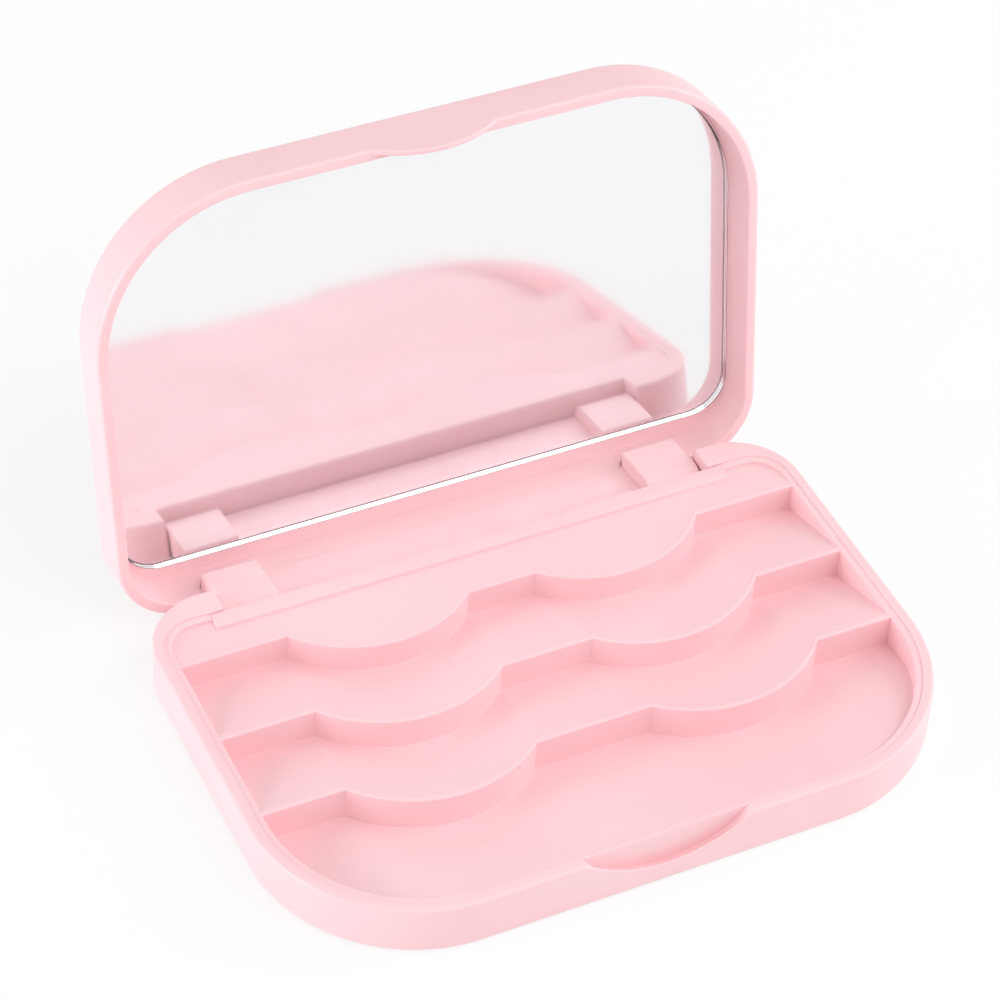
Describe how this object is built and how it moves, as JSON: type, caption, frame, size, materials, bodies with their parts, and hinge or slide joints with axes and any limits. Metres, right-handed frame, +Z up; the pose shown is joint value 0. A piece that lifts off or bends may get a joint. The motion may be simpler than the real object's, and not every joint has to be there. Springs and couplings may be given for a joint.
{
  "type": "false eyelash case",
  "caption": "Hinged pocket case with rounded front corners, a scalloped step tray for strip lashes in the base and a mirror set in the tilting lid.",
  "frame": {"origin": "middle of the flat underside of the base", "axes": "+X along the hinge to the right of a user facing the mirror, +Y from the thumb notch to the hinge, +Z up; stored with the lid open on its stop"},
  "size_m": [0.115, 0.1, 0.0777],
  "materials": {
    "base_plastic": "satin moulded plastic",
    "tray_plastic": "satin moulded plastic",
    "lid_plastic": "satin moulded plastic",
    "mirror": "silvered glass with a ground edge",
    "adhesive": "thin white foam sheet",
    "pin_steel": "drawn wire"
  },
  "bodies": {
    "base": {"base_shell": "base_plastic", "lash_tray": "tray_plastic", "hinge_pin_left": "pin_steel", "hinge_pin_right": "pin_steel"},
    "lid": {"lid_shell": "lid_plastic", "mirror_glass": "mirror", "mirror_tape": "adhesive"}
  },
  "joints": [
    {"name": "lid_hinge", "type": "hinge", "parent": "base", "child": "lid", "pos_m": [0, 0.0364, 0.0045], "axis": [1, 0, 0], "range_deg": [0, 99.2]}
  ]
}
